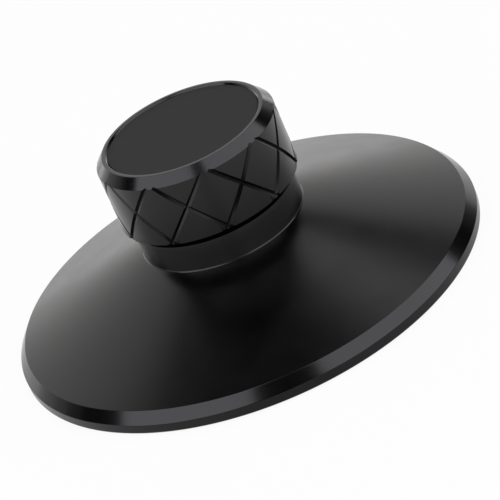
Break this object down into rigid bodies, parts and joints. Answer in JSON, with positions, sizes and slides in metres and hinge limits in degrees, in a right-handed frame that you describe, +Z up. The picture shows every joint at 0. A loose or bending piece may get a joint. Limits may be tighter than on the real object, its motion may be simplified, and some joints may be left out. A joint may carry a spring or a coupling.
{
  "type": "record weight clamp",
  "caption": "Round record weight clamp: a shallow conical disc with a collar and a grooved grip knob, bored below for the turntable spindle and faced with a soft pad.",
  "frame": {"origin": "centre of the pad's lower face, where the part rests on the record label", "axes": "+Z up along the spindle axis, -Y towards the front"},
  "size_m": [0.1, 0.1, 0.0388],
  "materials": {
    "black_anodised": "satin black anodised, with bright-turned bevels",
    "matte_inlay": "matte",
    "pad_rubber": "soft matte rubber"
  },
  "bodies": {
    "root": {"base_disc": "black_anodised", "grip_knob": "black_anodised", "top_inlay": "matte_inlay", "label_pad": "pad_rubber"}
  },
  "joints": []
}
